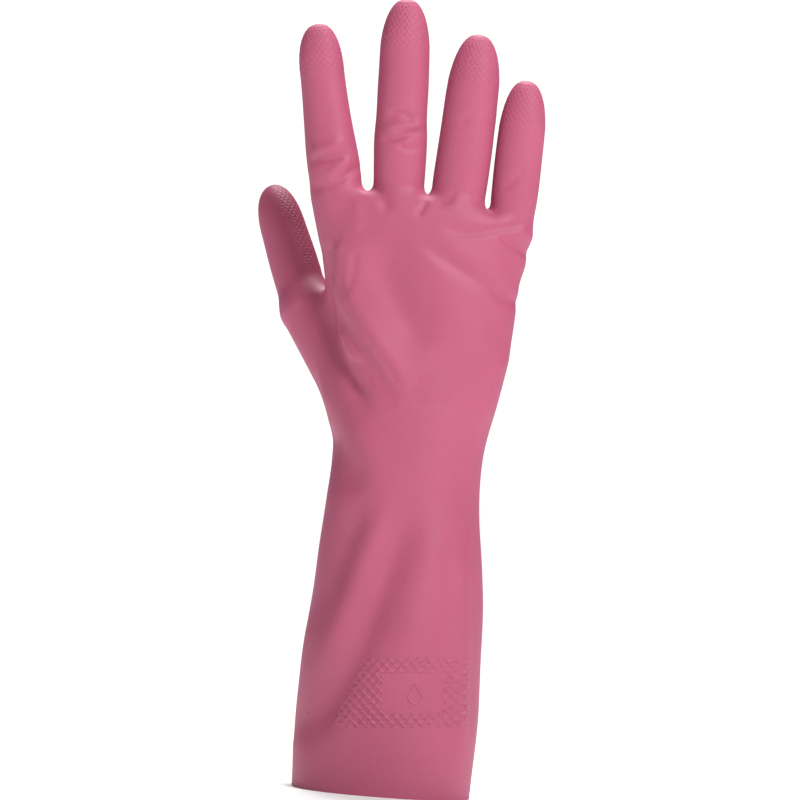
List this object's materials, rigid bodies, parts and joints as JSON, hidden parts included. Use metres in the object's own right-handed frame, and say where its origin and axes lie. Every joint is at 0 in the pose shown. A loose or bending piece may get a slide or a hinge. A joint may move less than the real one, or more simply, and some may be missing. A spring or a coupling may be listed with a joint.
{
  "type": "rubber glove",
  "caption": "Right-hand household rubber glove with a long cuff and a flock lining, filled as if worn, that bends at the wrist, fingers and thumb.",
  "frame": {"origin": "centre of the arm opening, in the plane of the cut hem", "axes": "+Z from the hem towards the fingertips, +Y to the palm side, -X to the thumb side"},
  "size_m": [0.108, 0.0812, 0.3047],
  "materials": {
    "latex": "satin pink natural-rubber latex, dipped, with a raised scale grip",
    "flock": "matt cotton flock"
  },
  "bodies": {
    "cuff": {"cuff_shell": "latex", "cuff_lining": "flock"},
    "hand": {"hand_shell": "latex", "hand_lining": "flock"},
    "index_base": {"index_base_shell": "latex", "index_base_lining": "flock"},
    "index_middle": {"index_middle_shell": "latex", "index_middle_lining": "flock"},
    "index_tip": {"index_tip_shell": "latex", "index_tip_lining": "flock"},
    "middle_base": {"middle_base_shell": "latex", "middle_base_lining": "flock"},
    "middle_middle": {"middle_middle_shell": "latex", "middle_middle_lining": "flock"},
    "middle_tip": {"middle_tip_shell": "latex", "middle_tip_lining": "flock"},
    "ring_base": {"ring_base_shell": "latex", "ring_base_lining": "flock"},
    "ring_middle": {"ring_middle_shell": "latex", "ring_middle_lining": "flock"},
    "ring_tip": {"ring_tip_shell": "latex", "ring_tip_lining": "flock"},
    "little_base": {"little_base_shell": "latex", "little_base_lining": "flock"},
    "little_middle": {"little_middle_shell": "latex", "little_middle_lining": "flock"},
    "little_tip": {"little_tip_shell": "latex", "little_tip_lining": "flock"},
    "thumb_base": {"thumb_base_shell": "latex", "thumb_base_lining": "flock"},
    "thumb_tip": {"thumb_tip_shell": "latex", "thumb_tip_lining": "flock"}
  },
  "joints": [
    {"name": "wrist_bend", "type": "hinge", "parent": "cuff", "child": "hand", "pos_m": [0, 0.0054, 0.121], "axis": [-1, 0, 0], "range_deg": [-30, 45], "stiffness_Nm_per_rad": 0.3},
    {"name": "index_root_bend", "type": "hinge", "parent": "hand", "child": "index_base", "pos_m": [-0.03599, 0.00137, 0.23605], "axis": [-0.9721, 0.1392, -0.189], "range_deg": [-10, 60], "stiffness_Nm_per_rad": 0.012},
    {"name": "index_middle_bend", "type": "hinge", "parent": "index_base", "child": "index_middle", "pos_m": [-0.03867, 0.00121, 0.24971], "axis": [-0.9721, 0.1392, -0.189], "range_deg": [0, 75], "stiffness_Nm_per_rad": 0.008},
    {"name": "index_tip_bend", "type": "hinge", "parent": "index_middle", "child": "index_tip", "pos_m": [-0.0429, 0.00104, 0.27134], "axis": [-0.9721, 0.1392, -0.189], "range_deg": [0, 40], "stiffness_Nm_per_rad": 0.005},
    {"name": "middle_root_bend", "type": "hinge", "parent": "hand", "child": "middle_base", "pos_m": [-0.01135, 0.0008, 0.236], "axis": [-0.9994, 0, -0.0349], "range_deg": [-10, 60], "stiffness_Nm_per_rad": 0.012},
    {"name": "middle_middle_bend", "type": "hinge", "parent": "middle_base", "child": "middle_middle", "pos_m": [-0.01207, 0.00084, 0.25663], "axis": [-0.9994, 0, -0.0349], "range_deg": [0, 75], "stiffness_Nm_per_rad": 0.008},
    {"name": "middle_tip_bend", "type": "hinge", "parent": "middle_middle", "child": "middle_tip", "pos_m": [-0.01294, 0.00075, 0.28138], "axis": [-0.9994, 0, -0.0349], "range_deg": [0, 40], "stiffness_Nm_per_rad": 0.005},
    {"name": "ring_root_bend", "type": "hinge", "parent": "hand", "child": "ring_base", "pos_m": [0.01215, 0.00141, 0.236], "axis": [-0.9982, 0, 0.0593], "range_deg": [-10, 60], "stiffness_Nm_per_rad": 0.012},
    {"name": "ring_middle_bend", "type": "hinge", "parent": "ring_base", "child": "ring_middle", "pos_m": [0.0132, 0.0014, 0.2537], "axis": [-0.9982, 0, 0.0593], "range_deg": [0, 75], "stiffness_Nm_per_rad": 0.008},
    {"name": "ring_tip_bend", "type": "hinge", "parent": "ring_middle", "child": "ring_tip", "pos_m": [0.01446, 0.00128, 0.27483], "axis": [-0.9982, 0, 0.0593], "range_deg": [0, 40], "stiffness_Nm_per_rad": 0.005},
    {"name": "little_root_bend", "type": "hinge", "parent": "hand", "child": "little_base", "pos_m": [0.03335, 0.00216, 0.231], "axis": [-0.9996, 0, 0.0279], "range_deg": [-10, 60], "stiffness_Nm_per_rad": 0.012},
    {"name": "little_middle_bend", "type": "hinge", "parent": "little_base", "child": "little_middle", "pos_m": [0.03371, 0.00214, 0.24382], "axis": [-0.9996, 0, 0.0279], "range_deg": [0, 75], "stiffness_Nm_per_rad": 0.008},
    {"name": "little_tip_bend", "type": "hinge", "parent": "little_middle", "child": "little_tip", "pos_m": [0.03417, 0.00198, 0.2603], "axis": [-0.9996, 0, 0.0279], "range_deg": [0, 40], "stiffness_Nm_per_rad": 0.005},
    {"name": "thumb_root_swing", "type": "hinge", "parent": "hand", "child": "thumb_base", "pos_m": [-0.04504, 0.02396, 0.19264], "axis": [0.4188, -0.7483, 0.5144], "range_deg": [-35, 10], "stiffness_Nm_per_rad": 0.012},
    {"name": "thumb_tip_bend", "type": "hinge", "parent": "thumb_base", "child": "thumb_tip", "pos_m": [-0.05086, 0.03104, 0.20766], "axis": [0.4188, -0.7483, 0.5144], "range_deg": [-45, 0], "stiffness_Nm_per_rad": 0.008}
  ]
}
